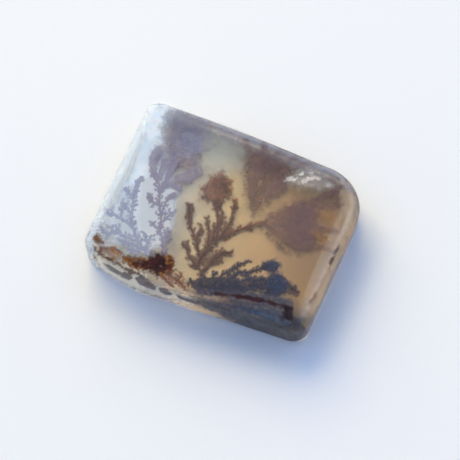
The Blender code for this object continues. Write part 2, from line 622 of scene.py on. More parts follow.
def cloud_material(name, deep, pale, mottle=0.35, grain=1400.0, polished=False):
    """Soft mineral whose opacity is the sheet's own, broken up by fine noise."""
    gloss = {"Roughness": 0.12, "Specular IOR Level": 0.5}
    dull = {"Roughness": 0.9, "Specular IOR Level": 0.0}
    material, tree, shader = new_material(name, gloss if polished else dull)
    specks = noise(tree, grain, 3.0, 0.6)["Fac"]
    level = maths(tree, "MULTIPLY_ADD", specks, 2 * mottle, 1 - mottle)
    opacity = maths(tree, "MULTIPLY", layer_value(tree, "cloud"), level, clamp=True)
    tree.links.new(opacity, shader.inputs["Alpha"])
    spread = maths(tree, "MULTIPLY_ADD", specks, 2.6 * mottle, -1.3 * mottle)
    shade = maths(tree, "ADD", layer_value(tree, "tone"), spread, clamp=True)
    tree.links.new(mixed(tree, shade, deep, pale), shader.inputs["Base Color"])
    return material


# %% [markdown]
# ## The milky end
# Towards its left end the chalcedony turns milky and bluish, like skimmed milk in water, and the
# ferns there look lavender through it. The milk is thickest along the left edge and in the far left
# corner, and it has faded out before the middle of the stone. It fills a depth, so it is a stack of
# faint sheets: one opaque sheet would look painted on. A dense sheet near the base closes the stack
# and keeps the shadow side of the stone from showing through.

# %% The milk
MILK_CORNER, MILK_SPAN = (80, 85), (170, 215)  # part of the photo that has milk, in pixels
MILK_LINE = ((96, 243), (172, 103))  # the left edge of the stone in the photo
MILK_FADE = 5.2  # mm from that edge to where the milk ends
MILK_NARROWS = 0.65  # share of those mm that is lost towards the far end of the edge
MILK_MOST, MILK_LEAST = 0.88, 0.82  # opacity at the far and at the near end of that edge
MILK_DEPTHS = (0.17, 0.25, 0.35, 0.5, 0.7, 0.95, 1.3, 1.8)
MILK_STEP = 0.3
MILK_BASE, MILK_BASE_DEPTH = 0.92, 5.6
milk_origin = np.array(MILK_CORNER) / PX


def milk_cloud(wider=1.0):
    """Grid of opacities: full along the left edge of the stone and gone before its middle."""
    a, b = (np.array(p) / PX for p in MILK_LINE)
    columns, rows = (int(span / PX / MILK_STEP) for span in MILK_SPAN)
    y, x = np.mgrid[0:rows, 0:columns] * MILK_STEP
    x, y = x + milk_origin[0], y + milk_origin[1]
    along = (b - a) / np.linalg.norm(b - a)
    far = (x - a[0]) * -along[1] + (y - a[1]) * along[0]
    up_edge = (x - a[0]) * along[0] + (y - a[1]) * along[1]
    share = np.clip(up_edge / np.linalg.norm(b - a), 0, 1)
    reach = MILK_FADE * (1.0 - MILK_NARROWS * share) + 0.4 * np.sin(up_edge * 0.8)
    fade = np.clip(1 - np.maximum(far, 0) / (reach * wider), 0, 1)
    return (MILK_LEAST + (MILK_MOST - MILK_LEAST) * share) * fade**1.2


milk = cloud_material("milk", (0.93, 0.975, 1.0), (0.96, 0.99, 1.0), mottle=0.08, grain=500.0)
whole = milk_cloud()
faint = 1 - (1 - whole) ** (1 / len(MILK_DEPTHS))
even_tone = np.full_like(whole, 0.5)
for k, depth in enumerate(MILK_DEPTHS):
    sheet(f"milky_haze_{k + 1}", faint, even_tone, milk_origin, depth, milk, MILK_STEP)
dense = MILK_BASE * np.minimum(1, 1.6 * milk_cloud(1.9))
sheet("milky_base", dense, even_tone, milk_origin, MILK_BASE_DEPTH, milk, MILK_STEP)

# %% [markdown]
# ## Milk at the walls and on the edge
# The low light enters through the walls first, so the milk must reach them too. Faint rings follow
# the walls of the left end from the inside and thin out towards the middle of the stone.
# The rolled edge there looks bluish and soft, with no hard mirror line. One faint bluish-white film on
# the polish, thickest in the far left corner, is partly milk at the skin and partly a painted sheen of
# the sky.

# %% A band that follows the skin
normals = np.array([vertex.normal for vertex in stone.data.vertices])


def band(name, levels, depth, opacity_at, material, every, faintest):
    """Piece at a depth under some of the skin's rings, from every so many points of each."""
    around = np.arange(0, len(rim), every)
    numbers = np.array([level * len(rim) + around for level in levels])
    points = skin_points[numbers] - normals[numbers] * depth
    opacity = opacity_at(points[..., 0], points[..., 1])
    rows, columns = opacity.shape
    opacity = opacity.ravel()
    faces = []
    for i in range(rows - 1):
        for j in range(columns):
            k = (j + 1) % columns
            corners = [i * columns + j, i * columns + k, (i + 1) * columns + k, (i + 1) * columns + j]
            if max(opacity[corners]) > faintest:
                faces.append(corners)
    cloud_piece(name, points.reshape(-1, 3), opacity, np.full(len(opacity), 0.5), faces, material)


# %% Milk along the walls
WALL_MILK_DEPTHS = (0.3, 0.6, 0.95, 1.35)
WALL_MILK = 0.22
WALL_MILK_FULL, WALL_MILK_END = -13.0, -4.0  # mm along the stone
wall_levels = range(FOOT_STEPS, FIRST_ROLL + ROLL_STEPS // 2 + 1)


def wall_milk(x, y):
    """Opacity inside the walls of the left end, where light that comes in low first meets milk."""
    opacity = WALL_MILK * np.clip((WALL_MILK_END - x) / (WALL_MILK_END - WALL_MILK_FULL), 0, 1)
    opacity *= np.clip((y + 9) / 5, 0, 1)
    rise = np.linspace(0, 1, len(x))
    opacity *= np.minimum(1, 3 * np.minimum(rise + 0.1, 1 - rise))[:, None]
    return opacity


for k, depth in enumerate(WALL_MILK_DEPTHS):
    band(f"wall_haze_{k + 1}", wall_levels, depth, wall_milk, milk, every=3, faintest=0.01)

# %% Milk and painted sheen on the polish
FILM_LIFT = 0.012  # mm over the skin
MILK_AND_SHEEN = 0.26
MILK_AND_SHEEN_FULL, MILK_AND_SHEEN_END = -17.5, -13.0  # mm along the stone
milk_and_sheen_levels = range(FIRST_ROLL + 3, FIRST_ROLL + ROLL_STEPS + 24)


def milk_and_sheen_film(x, y):
    """Opacity of the film on the polish, milk and painted sheen, strongest in the far left corner."""
    fade = np.clip((MILK_AND_SHEEN_END - x - 0.5 * np.sin(0.9 * y)) / (MILK_AND_SHEEN_END - MILK_AND_SHEEN_FULL), 0, 1)
    opacity = MILK_AND_SHEEN * fade * fade * (3 - 2 * fade) * np.clip((y + 12.5) / 4, 0, 1)
    opacity[0] = 0
    return opacity


# partly milk at the skin, partly a painted sheen of the sky on the rolled edge
milk_and_sheen_look = cloud_material("milk_and_sheen", (0.80, 0.92, 1.0), (0.88, 0.96, 1.0), 0.05, 300.0, polished=True)
band("milk_and_sheen_film", milk_and_sheen_levels, -FILM_LIFT, milk_and_sheen_film, milk_and_sheen_look, every=1, faintest=0.005)

# %% [markdown]
# ## Ferns that grew in the stone
# The ferns are thin crusts of dark oxide that crept along planes inside the stone. We grow them as
# the mineral did: stems lead the way, twigs leave them left and right, march on and stop where they
# meet each other. Every step leaves a grain. The stems are short lists of places in the photo.

# %% Paths and outlines of the photo
CURVE_STEPS = 12  # straight pieces between two places of a path


def smooth_path(points, step):
    """Curve through the points (photo pixels), in mm, with a point every step."""
    points = np.array(points, float) / PX
    padded = np.vstack([2 * points[0] - points[1], points, 2 * points[-1] - points[-2]])
    dense = []
    for a, b, c, d in zip(padded, padded[1:], padded[2:], padded[3:]):
        pull, bend, twist = c - a, 2 * a - 5 * b + 4 * c - d, 3 * b - a - 3 * c + d
        for t in np.linspace(0, 1, CURVE_STEPS, endpoint=False):
            dense.append(0.5 * (2 * b + pull * t + bend * t**2 + twist * t**3))
    dense.append(points[-1])
    dense = np.array(dense)
    length = np.concatenate([[0], np.cumsum(np.linalg.norm(np.diff(dense, axis=0), axis=1))])
    marks = np.arange(0, length[-1], step)
    return np.column_stack([np.interp(marks, length, dense[:, k]) for k in (0, 1)])


def ribbon(points, half_width):
    """Corners of a spindle-shaped patch along a path, in pixels like the path."""
    path = smooth_path(points, 0.3) * PX
    way = np.gradient(path, axis=0)
    across = np.column_stack([-way[:, 1], way[:, 0]]) / np.linalg.norm(way, axis=1)[:, None]
    swell = half_width * np.sin(np.linspace(0.25, math.pi - 0.25, len(path)))[:, None]
    return np.concatenate([path + across * swell, (path - across * swell)[::-1]])


def edge_distance(spots, corners):
    """Distance of each spot to a polygon's edge, positive inside."""
    within = np.zeros(len(spots), bool)
    nearest = np.full(len(spots), np.inf)
    for a, b in zip(corners, np.roll(corners, -1, axis=0)):
        along = b - a
        t = np.clip(((spots - a) @ along) / (along @ along), 0, 1)
        nearest = np.minimum(nearest, np.linalg.norm(spots - a - t[:, None] * along, axis=1))
        crosses = (a[1] > spots[:, 1]) != (b[1] > spots[:, 1])
        with np.errstate(divide="ignore", invalid="ignore"):
            x = a[0] + (spots[:, 1] - a[1]) / (b[1] - a[1]) * (b[0] - a[0])
        within ^= crosses & (spots[:, 0] < x)
    return np.where(within, nearest, -nearest)


# %% A soft patch
RIPPLES = (2.6, 4.9, 8.7)  # radians for one mm: from broad waves to fine ones


def ripples(spots, wave):
    """Uneven waves of three sizes, each bent by another, that run in no common direction."""
    total = 0
    for k, size in enumerate(RIPPLES):
        along, across = wave[k], wave[k] + 1.2 + 0.4 * k
        first = spots @ np.array((math.cos(along), math.sin(along)))
        second = spots @ np.array((math.cos(across), math.sin(across)))
        drift = 1.4 * np.sin(0.8 * size * second + wave[5 - k])
        total = total + np.sin(size * first + wave[k + 3] + drift) / (1 + 0.4 * k)
    return total


class Patch:
    """A polygon of photo pixels with a soft, uneven edge, and streaks from one point if wanted."""

    def __init__(self, corners, cover, soft, tone, streak, ragged, wave, marble=0.25):
        self.corners = np.array(corners, float) / PX
        self.cover, self.soft, self.tone, self.marble = cover, soft, tone, marble
        self.streak, self.ragged, self.wave = streak, ragged, wave

    def at(self, spots):
        """How much of the patch there is at each spot, 0 to 1, and its tone."""
        wobble = ripples(spots, self.wave)
        depth = edge_distance(spots, self.corners) + self.ragged * 0.5 * wobble
        part = np.clip(depth / self.soft + 0.5, 0, 1)
        amount = part * part * (3 - 2 * part)
        if self.streak is not None:
            ray = spots - np.array(self.streak) / PX
            angle = np.arctan2(ray[:, 1], ray[:, 0])
            comb = np.sin(angle * 13 + 0.9 * wobble + self.wave[0])
            comb = comb + 0.7 * np.sin(angle * 31 + 1.1 * wobble + self.wave[1])
            amount = amount * np.clip(0.78 + 0.2 * comb, 0, 1)
        return amount, np.clip(self.tone + self.marble * wobble, 0, 1)


# %% How a fern grows
CELL = 0.11  # mm, no two twigs share or touch a cell
STEP = 0.08  # mm from grain to grain along a twig
STEM_STRAYS, TWIG_TURNS = 0.01, 0.12  # spread of a stem's mm and of a twig's radians at each step
BUDS = (0.2, 0.32)  # mm between the buds on a twig, least and most
STEM_TONE, PLAIN_TONE = 0.2, 0.5  # 0 is the deep colour of a mineral and 1 the pale one
HAZE_PAD = 1.5  # mm of room for haze around a growth
HAZE_TONE = 0.4  # tone of haze where no cloud is
GRAIN_HIDES = 2.2  # share of its own square that a grain hides


class Growth:
    """Grains laid one by one in a plane, which keep clear of each other's twigs, and soft clouds."""

    def __init__(self, seed):
        self.seed = seed
        self.rng = np.random.default_rng(seed)
        self.taken, self.grains, self.clouds, self.count = {}, [], [], 0

    def cell(self, spot):
        return (math.floor(spot[0] / CELL), math.floor(spot[1] / CELL))

    def free(self, spot, own):
        i, j = self.cell(spot)
        near = (self.taken.get((a, b)) for a in (i - 1, i, i + 1) for b in (j - 1, j, j + 1))
        return all(owner is None or owner in own for owner in near)

    def lay(self, spot, radius, tone, owner=0):
        self.grains.append((spot[0], spot[1], radius, tone))
        self.taken.setdefault(self.cell(spot), owner)

    def stem(self, points, thick, thin):
        self.count += 1
        path = smooth_path(points, STEP)
        path += np.cumsum(self.rng.normal(0, STEM_STRAYS, path.shape), axis=0)
        for k, spot in enumerate(path):
            self.lay(spot, thick + (thin - thick) * k / len(path), STEM_TONE, self.count)
        return path, self.count

    def twig(self, spot, heading, length, radius, kin, bend, order):
        """A twig that marches on until it is long enough or meets another one."""
        self.count += 1
        own = self.count
        steps = max(2, int(length / STEP))
        laid = []
        for k in range(steps):
            heading += bend * STEP + self.rng.normal(0, TWIG_TURNS)
            spot = spot + STEP * np.array((math.cos(heading), math.sin(heading)))
            if not self.free(spot, (own, kin) if k < 4 else (own,)):
                break
            laid.append((spot, heading))
        for k, (spot, _) in enumerate(laid):
            last = len(laid) > 3 and k == len(laid) - 1
            swell = self.rng.uniform(1.2, 1.6) if last else 1 - 0.25 * k / steps
            self.lay(spot, radius * swell, PLAIN_TONE, own)
        if order == 0:
            return
        side = self.rng.choice((-1, 1))
        k = int(self.rng.uniform(*BUDS) / STEP)
        while k < len(laid) - 1:
            spot, way = laid[k]
            reach = length * self.rng.uniform(0.3, 0.5) * (1 - 0.45 * k / steps)
            turn = side * self.rng.uniform(0.7, 1.1)
            self.twig(spot, way + turn, reach, radius * 0.9, own, -side * 0.3, order - 1)
            side = -side
            k += int(self.rng.uniform(*BUDS) / STEP)

    def fern(self, stems, thick, thin, reach, twig, spacing):
        """Stems from thick to thin, with twigs of a reach and a radius left and right, all in mm."""
        laid = []
        for k, points in enumerate(stems):
            laid.append(self.stem(points, thick if k == 0 else thin * 1.3, thin))
        for path, owner in laid:
            total = len(path) * STEP
            side, at = 1, self.rng.uniform(0, spacing)
            while at < total:
                k = min(int(at / STEP), len(path) - 2)
                way = math.atan2(*(path[k + 1] - path[max(k - 1, 0)])[::-1])
                length = reach * (1.0 - 0.45 * (at / total) ** 2) * self.rng.uniform(0.55, 1.3)
                turn = side * self.rng.uniform(0.65, 1.0)
                self.twig(path[k], way + turn, length, twig, owner, -side * 0.35, 1)
                side = -side
                at += spacing * self.rng.uniform(0.65, 1.35)

    def club(self, points, start_width, end_width, radius, tone=PLAIN_TONE):
        """A lobe that swells along its path and ends in a round knobbly tip; widths in pixels."""
        path = smooth_path(points, STEP)
        for k, spot in enumerate(path):
            part = k / len(path)
            width = (start_width + (end_width - start_width) * math.sin(part * math.pi * 0.62)) / PX
            way = path[min(k + 1, len(path) - 1)] - path[max(k - 1, 0)]
            across = np.array((-way[1], way[0])) / max(1e-6, np.hypot(*way))
            count = max(1, int(width / radius * 0.9))
            for offset in self.rng.uniform(-1, 1, count):
                self.lay(spot + across * offset * width + self.rng.normal(0, 0.03, 2), radius, tone)

    def mass(self, corners, radius, cover, soft, tone=PLAIN_TONE, ragged=0.25):
        """Grains strewn inside a polygon of pixels: their radius, how much they cover, the fade."""
        patch = Patch(corners, cover, soft, tone, None, ragged, self.rng.uniform(0, 2 * math.pi, 6))
        low, high = patch.corners.min(0) - soft, patch.corners.max(0) + soft
        count = int(-math.log(1 - cover) * np.prod(high - low) / (math.pi * radius**2))
        spots = self.rng.uniform(low, high, (count, 2))
        chance, tones = patch.at(spots)
        keep = self.rng.random(count) < chance
        for spot, shade in zip(spots[keep], tones[keep]):
            self.grains.append((spot[0], spot[1], radius * self.rng.uniform(0.75, 1.25), shade))

    def cloud(self, corners, cover, soft, tone=PLAIN_TONE, streak=None, ragged=0.25, marble=0.25):
        """Soft colour inside a polygon of pixels: how much it covers, its fade in mm, its tone."""
        wave = self.rng.uniform(0, 2 * math.pi, 6)
        self.clouds.append(Patch(corners, cover, soft, tone, streak, ragged, wave, marble))

    def haze(self, share, spread=1, step=SHEET_STEP, grid=None, density=2.5):
        """Grid of opacities and tones: the clouds, and a soft halo around the grains."""
        if grid is None:
            places = [np.array([g[:2] for g in self.grains])] if self.grains else []
            everything = np.concatenate(places + [patch.corners for patch in self.clouds])
            origin = everything.min(0) - HAZE_PAD
            columns, rows = np.ceil((everything.max(0) + HAZE_PAD - origin) / step).astype(int) + 1
        else:
            origin, (rows, columns) = grid
        opacity, tone = np.zeros((rows, columns)), np.full((rows, columns), HAZE_TONE)
        for x, y, radius, _ in self.grains:
            i, j = int((y - origin[1]) / step + 0.5), int((x - origin[0]) / step + 0.5)
            if 0 <= i < rows and 0 <= j < columns:
                opacity[i, j] += GRAIN_HIDES * radius**2 / step**2
        for _ in range(spread):
            for axis in (0, 1):
                opacity = (np.roll(opacity, 1, axis) + 2 * opacity + np.roll(opacity, -1, axis)) / 4
        opacity = share * (1 - np.exp(-density * opacity))
        y, x = np.mgrid[0:rows, 0:columns] * step
        spots = np.column_stack([x.ravel() + origin[0], y.ravel() + origin[1]])
        for patch in self.clouds:
            cover, tones = (values.reshape(rows, columns) for values in patch.at(spots))
            cover = cover * patch.cover
            tone = tone * (1 - cover) + tones * cover
            opacity = 1 - (1 - opacity) * (1 - cover)
        return opacity, tone, origin


# %% [markdown]
# ## From grains to meshes
# Thousands of grains are one small shape repeated, which is work for Geometry Nodes: the grains'
# places become the points of a mesh, and the tree puts a little round body on each, flattened along
# the plane it grew in and turned at random.

# %% Tree that dresses points with grains
GROUP_INPUTS = (("Geometry", "Geometry"), ("Size", "Float"), ("Flatness", "Float"), ("Seed", "Int"),
                ("Material", "Material"))


def grain_tree():
    tree = bpy.data.node_groups.new("grains_on_points", "GeometryNodeTree")
    for name, kind in GROUP_INPUTS:
        tree.interface.new_socket(name, in_out="INPUT", socket_type="NodeSocket" + kind)
    tree.interface.new_socket("Geometry", in_out="OUTPUT", socket_type="NodeSocketGeometry")
    given = put(tree, "NodeGroupInput").outputs
    result = put(tree, "NodeGroupOutput")
    body = put(tree, "GeometryNodeMeshIcoSphere", {"Radius": 1.0, "Subdivisions": 1})
    radius = put(tree, "GeometryNodeInputNamedAttribute", {"Name": "radius"}, data_type="FLOAT")
    width = maths(tree, "MULTIPLY", radius.outputs["Attribute"], given["Size"])
    height = maths(tree, "MULTIPLY", width, given["Flatness"])
    size = put(tree, "ShaderNodeCombineXYZ", {0: width, 1: width, 2: height})
    turn = put(tree, "FunctionNodeRandomValue", {"Max": (0.5, 0.5, 2 * math.pi), "Seed": given["Seed"]},
               data_type="FLOAT_VECTOR")
    sockets = {"Points": given["Geometry"], "Instance": body.outputs["Mesh"],
               "Rotation": turn.outputs["Value"], "Scale": size.outputs[0]}
    laid = put(tree, "GeometryNodeInstanceOnPoints", sockets)
    real = put(tree, "GeometryNodeRealizeInstances", {"Geometry": laid.outputs["Instances"]})
    smooth = put(tree, "GeometryNodeSetShadeSmooth", {"Geometry": real.outputs["Geometry"]})
    dressed = put(tree, "GeometryNodeSetMaterial",
                  {"Geometry": smooth.outputs["Geometry"], "Material": given["Material"]})
    tree.links.new(dressed.outputs["Geometry"], result.inputs["Geometry"])
    return tree


grains_on_points = grain_tree()

# %% Grains become a piece
SKIN_MARGIN = 0.1  # mm of clear stone that stays over every grain


def sunk(growth, depth, thickness):
    """Grains of a growth as points inside the stone, with their radii and tones."""
    spots, radii, tones = [], [], []
    for x, y, radius, tone in growth.grains:
        under = depth + growth.rng.uniform(-0.5, 0.5) * thickness
        spot = inside((x * PX, y * PX), under)
        if spot is None or spot.z < SKIN_MARGIN:
            continue
        _, _, _, clear = skin_tree.find_nearest(spot)
        if clear > SKIN_MARGIN + radius * 0.5:
            spots.append(spot * MM)
            radii.append(radius * MM)
            tones.append(tone)
    return spots, radii, tones


def dressed_points(name, spots, radii, tones, material, flatness, seed):
    """One plain mesh of grains on the given points."""
    mesh = bpy.data.meshes.new(name + "_points")
    mesh.from_pydata(spots, [], [])
    add_layer(mesh, "radius", radii)
    add_layer(mesh, "tone", tones)
    holder = add_object(name + "_points", mesh)
    modifier = holder.modifiers.new("grains", "NODES")
    modifier.node_group = grains_on_points
    wanted = {"Size": 1.0, "Flatness": flatness, "Seed": seed, "Material": material}
    for item in grains_on_points.interface.items_tree:
        if item.in_out == "INPUT" and item.name in wanted:
            modifier[item.identifier] = wanted[item.name]
    evaluated = holder.evaluated_get(bpy.context.evaluated_depsgraph_get())
    made = bpy.data.meshes.new_from_object(evaluated)
    made.name = name
    piece = add_object(name, made)
    bpy.data.objects.remove(holder, do_unlink=True)
    bpy.data.meshes.remove(mesh)
    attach(piece, "root")
    print(name, "has", len(spots), "grains,", len(made.polygons), "faces")


# %% Colour of the grains
OXIDE_SPECKS, SPECK_SPREAD = 2600.0, 0.7  # scale of the fine noise, and how far it moves the tone


def oxide(name, deep, pale):
    """Dark mineral whose tone runs from deep to pale with each grain's own value."""
    material, tree, shader = new_material(name, {"Roughness": 0.7, "Specular IOR Level": 0.0})
    specks = noise(tree, OXIDE_SPECKS, 2.0)["Fac"]
    spread = maths(tree, "MULTIPLY_ADD", specks, SPECK_SPREAD, -SPECK_SPREAD / 2)
    level = maths(tree, "ADD", layer_value(tree, "tone"), spread, clamp=True)
    tree.links.new(mixed(tree, level, deep, pale), shader.inputs["Base Color"])
    return material


# %% [markdown]
# ## Two ways to settle a growth
# A growth inside the stone becomes two pieces, its grains and the soft haze around and behind them.
# One right under the polish becomes a single film. The colours say what tones 0 and 1 look like.
# The tree, its crown, the oak and the smoke lie near the base of the stone. Higher up each of them
# would throw a dark shadow on what lies below it, and the photo shows none.

# %% From a growth to its pieces
FINE_STEP = 0.12  # mm, a finer grid than a sheet's for thin lines


def settle(name, growth, depth, thickness, deep, pale, haze, flatness=0.7, step=SHEET_STEP, mottle=0.3):
    """Two pieces: the grains as a mesh, and the soft haze around and behind them."""
    if growth.grains:
        spots, radii, tones = sunk(growth, depth, thickness)
        dressed_points(name, spots, radii, tones, oxide(name, deep, pale), flatness, growth.seed)
    opacity, tone, origin = growth.haze(haze, step=step)
    look = cloud_material(name + "_haze", deep, pale, mottle)
    sheet(name + "_haze", opacity, tone, origin, depth + thickness / 2 + 0.05, look, step)


def film(name, growth, deep, pale, step=SHEET_STEP, mottle=0.1, lift=1.0, share=0.0):
    """One piece: a growth's clouds, and a share of its grains, as a polished film on the skin.

    Films that lie over each other need lifts of their own, counted in the thinnest one.
    """
    opacity, tone, origin = growth.haze(share, step=step, density=0.9)
    look = cloud_material(name, deep, pale, mottle, polished=True)
    sheet(name, opacity, tone, origin, -lift * FILM_LIFT, look, step)


# %% [markdown]
# ## The fan on the left
# The leftmost fern spreads from the rusty root like a fan of fine feathers. It lies shallow, in the
# milk, so it looks lavender.

# %% Grow the fan
FAN = (
    ((150, 258), (146, 251), (140, 245), (136, 238), (134, 230), (132, 222), (132.5, 213), (134, 205),
     (134.5, 197), (137, 190), (139, 184), (143, 177)),
    ((148, 254), (147, 245), (145, 238), (144, 232)),
    ((147, 247), (149, 240), (151, 235)),
    ((132, 228), (127, 222), (121, 219), (115, 215), (111, 210), (113, 205)),
    ((121, 219), (122, 212), (124, 205), (122, 200)),
    ((132, 215), (128, 209), (126, 203)),
    ((115, 215), (109, 214), (107, 209)),
    ((137, 241), (129, 239), (122, 235), (114, 232), (107, 234), (103, 230), (101, 226)),
    ((122, 235), (118, 229), (113, 225)),
    ((114, 232), (110, 227), (106, 226)),
    ((143, 250), (134, 246), (126, 243), (118, 241)),
    ((140, 252), (133, 251), (128, 249)),
    ((134, 201), (130, 195), (128, 189)),
    ((135, 196), (137, 189), (137, 182)),
)

fan = Growth(1)
fan.fern(FAN, thick=0.17, thin=0.11, reach=0.85, twig=0.10, spacing=0.30)
fan.club(((137, 190), (137, 185), (138, 181)), 1.8, 2.6, 0.1)
fan.club(((141, 181), (143, 177)), 1.8, 2.4, 0.1)
fan.club(((124, 189.5), (127, 190)), 1.2, 1.8, 0.1)
settle("fan_fern", fan, 0.13, 0.03, seen(96, 96, 142), seen(142, 138, 180),
       haze=0.12, flatness=0.4, mottle=0.1)

# %% [markdown]
# ## The tall tree and its crown
# Beside the fan a taller fern climbs to the far corner. Its side branches end in leaf-like lobes, and
# its top is blurred to a brown and bluish crown.

# %% Grow the tree
TREE = (
    ((160, 262), (164, 250), (163, 243), (161, 236), (159, 229), (161, 222), (160, 214), (159, 206),
     (159, 198), (161, 192), (163, 187), (166, 182), (170, 176), (172, 170), (174, 163)),
    ((159, 204), (154, 203), (151, 199), (150, 194)),
    ((160, 195), (158, 188), (154, 184)),
    ((159, 230), (155, 226), (153, 222)),
    ((161, 214), (165, 205), (168, 199), (172, 196), (175, 194)),
    ((162, 222), (166, 219), (170, 214), (174, 212)),
    ((164, 238), (167, 233), (169, 231)),
    ((165, 243), (168, 239), (170, 236)),
    ((161, 190), (158, 182), (156, 176)),
    ((166, 182), (172, 186), (179, 187)),
)
LEAVES = (  # path, width at its start and at its tip in pixels
    (((158, 182), (155, 175), (153, 166), (155, 156), (159, 150), (159, 145)), 2.4, 4.6),
    (((160, 180), (162, 172), (165, 165), (166, 159)), 2.0, 3.4),
    (((166, 180), (170, 172), (173, 165), (176, 158)), 2.0, 3.6),
    (((156, 178), (153, 174), (151, 173)), 2.2, 3.8),
    (((160, 192), (164, 186), (170, 184), (174, 186)), 2.8, 3.6),
    (((174, 187), (178, 187.5), (181, 188)), 1.8, 3.6),
    (((167, 200), (172, 196.5), (176, 194)), 1.6, 3.2),
    (((150, 203), (150, 196), (150, 193)), 1.6, 2.6),
)

tree = Growth(2)
tree.fern(TREE, thick=0.17, thin=0.12, reach=0.9, twig=0.10, spacing=0.29)
for path, start, tip in LEAVES:
    tree.club(path, start, tip, 0.11)
tree_twigs = Growth(2)
tree_twigs.grains = list(tree.grains)
tree.mass(((174, 168), (170, 152), (167, 142), (178, 138), (196, 140), (201, 150), (196, 156),
           (196, 162), (190, 167), (181, 166)), 0.1, 0.5, 0.7)
tree.mass(((175, 181), (182, 174), (190, 169), (197, 164), (202, 168), (200, 175), (193, 180),
           (184, 182)), 0.1, 0.4, 0.6)
tree.cloud(((173, 169), (169, 152), (166, 142), (178, 137), (197, 139), (202, 150), (197, 156),
            (197, 163), (190, 168), (181, 167)), 0.75, 0.8, 0.5)
tree.cloud(((173, 182), (182, 172), (190, 168), (198, 163), (203, 168), (201, 176), (193, 181),
            (184, 183)), 0.72, 1.1, 0.4)
for path, start, tip in LEAVES:
    tree.cloud(ribbon(path, 0.9 * tip), 0.6, 0.3, 0.5)
settle("tree_fern", tree, 5.4, 0.2, seen(140, 132, 162), seen(186, 172, 186),
       haze=0.3, flatness=0.4, mottle=0.1)

# %% Grow the crown
crown = Growth(5)
crown.mass(((166, 146), (162, 130), (166, 118), (174, 111), (192, 114), (206, 121), (208, 127),
            (200, 132), (197, 140), (186, 146)), 0.1, 0.4, 1.0, 0.6)
crown.cloud(((164, 150), (159, 130), (163, 117), (173, 109), (192, 112), (208, 119), (212, 126),
             (202, 133), (199, 141), (186, 148)), 0.72, 1.6, 0.7, streak=(166, 190), ragged=0.9)
crown.cloud(((178, 131), (190, 126), (201, 137), (206, 148), (200, 158), (190, 152), (180, 144)),
            0.75, 1.4, 0.0, ragged=0.5)
crown.cloud(((199, 143), (210, 140), (218, 144), (210, 149), (199, 149)), 0.5, 0.9, 0.9)
settle("tree_crown", crown, 5.3, 0.3, seen(116, 116, 148), seen(182, 158, 158), haze=0.2, mottle=0.08)

# %% [markdown]
# ## Milk and painted light between the ferns
# Between the two left ferns a nearly white film lies on the polish: partly milk come up to the skin,
# partly painted light where the ferns' shadows darken the stone. It doesn't cover the ferns: a growth
# can tell how much of its grains lies at a place, and the film thins out there.

# %% Fill in the milk and painted light
gaps = Growth(25)
gaps.cloud(((154, 108), (166, 108), (164, 120), (161, 130), (165, 146), (152, 152), (147, 176),
            (128, 186), (134, 162), (145, 132)), 0.72, 1.6, 0.3, ragged=0.1)
gaps.cloud(((150, 107), (167, 108), (163, 121), (159, 136), (150, 140), (144, 130)),
           0.7, 1.2, 0.6, ragged=0.1)
gaps.cloud(((138, 168), (148, 160), (168, 166), (177, 190), (174, 222), (162, 246), (142, 252),
            (132, 215)), 0.56, 1.4, 0.9, ragged=0.2)
gaps.cloud(((124, 182), (142, 164), (138, 215), (138, 250), (112, 240), (106, 220)),
           0.46, 1.6, 0.2, ragged=0.2)
milk_and_light, milk_and_light_tone, gaps_origin = gaps.haze(0.0, step=FINE_STEP)
for growth, blur, strength in ((fan, 0, 0.6), (tree, 0, 0.6), (crown, 1, 0.8)):
    grown, _, _ = growth.haze(1.0, blur, FINE_STEP, (gaps_origin, milk_and_light.shape))
    milk_and_light *= (1 - 0.98 * grown) ** strength
# near white: partly milk, partly painted light over the shade that the ferns throw
look = cloud_material("milk_and_light_between", (0.68, 0.84, 0.98), (0.84, 0.85, 0.87),
                      0.05, 300.0, polished=True)
sheet("milk_and_light_between", milk_and_light, milk_and_light_tone, gaps_origin, -1.5 * FILM_LIFT, look, FINE_STEP)

# %% [markdown]
# ## Tint over the milk
# The finest twigs of the left ferns stand in the milk right under the polish, so they look lavender
# and paler than the grains behind them. One film each, laid out from the same grains, gives them that
# colour and keeps them sharp. A soft film does the same for the blurry crown.

# %% Tint the left ferns
tint = Growth(27)
tint.cloud(((167, 113), (176, 109), (204, 120), (209, 131), (203, 150), (190, 158), (172, 160),
            (160, 168), (153, 160), (164, 146)), 0.3, 1.2, 0.8, ragged=0.4, marble=0.2)
tint.cloud(((180, 134), (192, 131), (203, 140), (201, 154), (186, 156), (178, 146)),
           0.3, 1.2, 0.0, ragged=0.5)
tint.cloud(((173, 181), (180, 172), (190, 169), (198, 164), (203, 169), (200, 176), (192, 181),
            (183, 184)), 0.3, 1.0, 0.9, ragged=0.3, marble=0.1)
film("crown_tint", tint, (0.17, 0.22, 0.39), (0.50, 0.45, 0.50), mottle=0.08, lift=2)
film("fan_tint", fan, (0.29, 0.33, 0.50), (0.38, 0.39, 0.53),
     step=FINE_STEP, mottle=0.08, lift=2.5, share=0.7)
film("tree_tint", tree_twigs, (0.28, 0.28, 0.42), (0.40, 0.36, 0.43),
     step=FINE_STEP, mottle=0.08, lift=2.5, share=0.62)

# %% [markdown]
# ## The oak in the middle
# The middle fern is brown and has the boldest limbs. They are knobbly all along, because their twigs
# are short and close together, and the tallest limb ends in a ragged leafy crown with a redder heart.

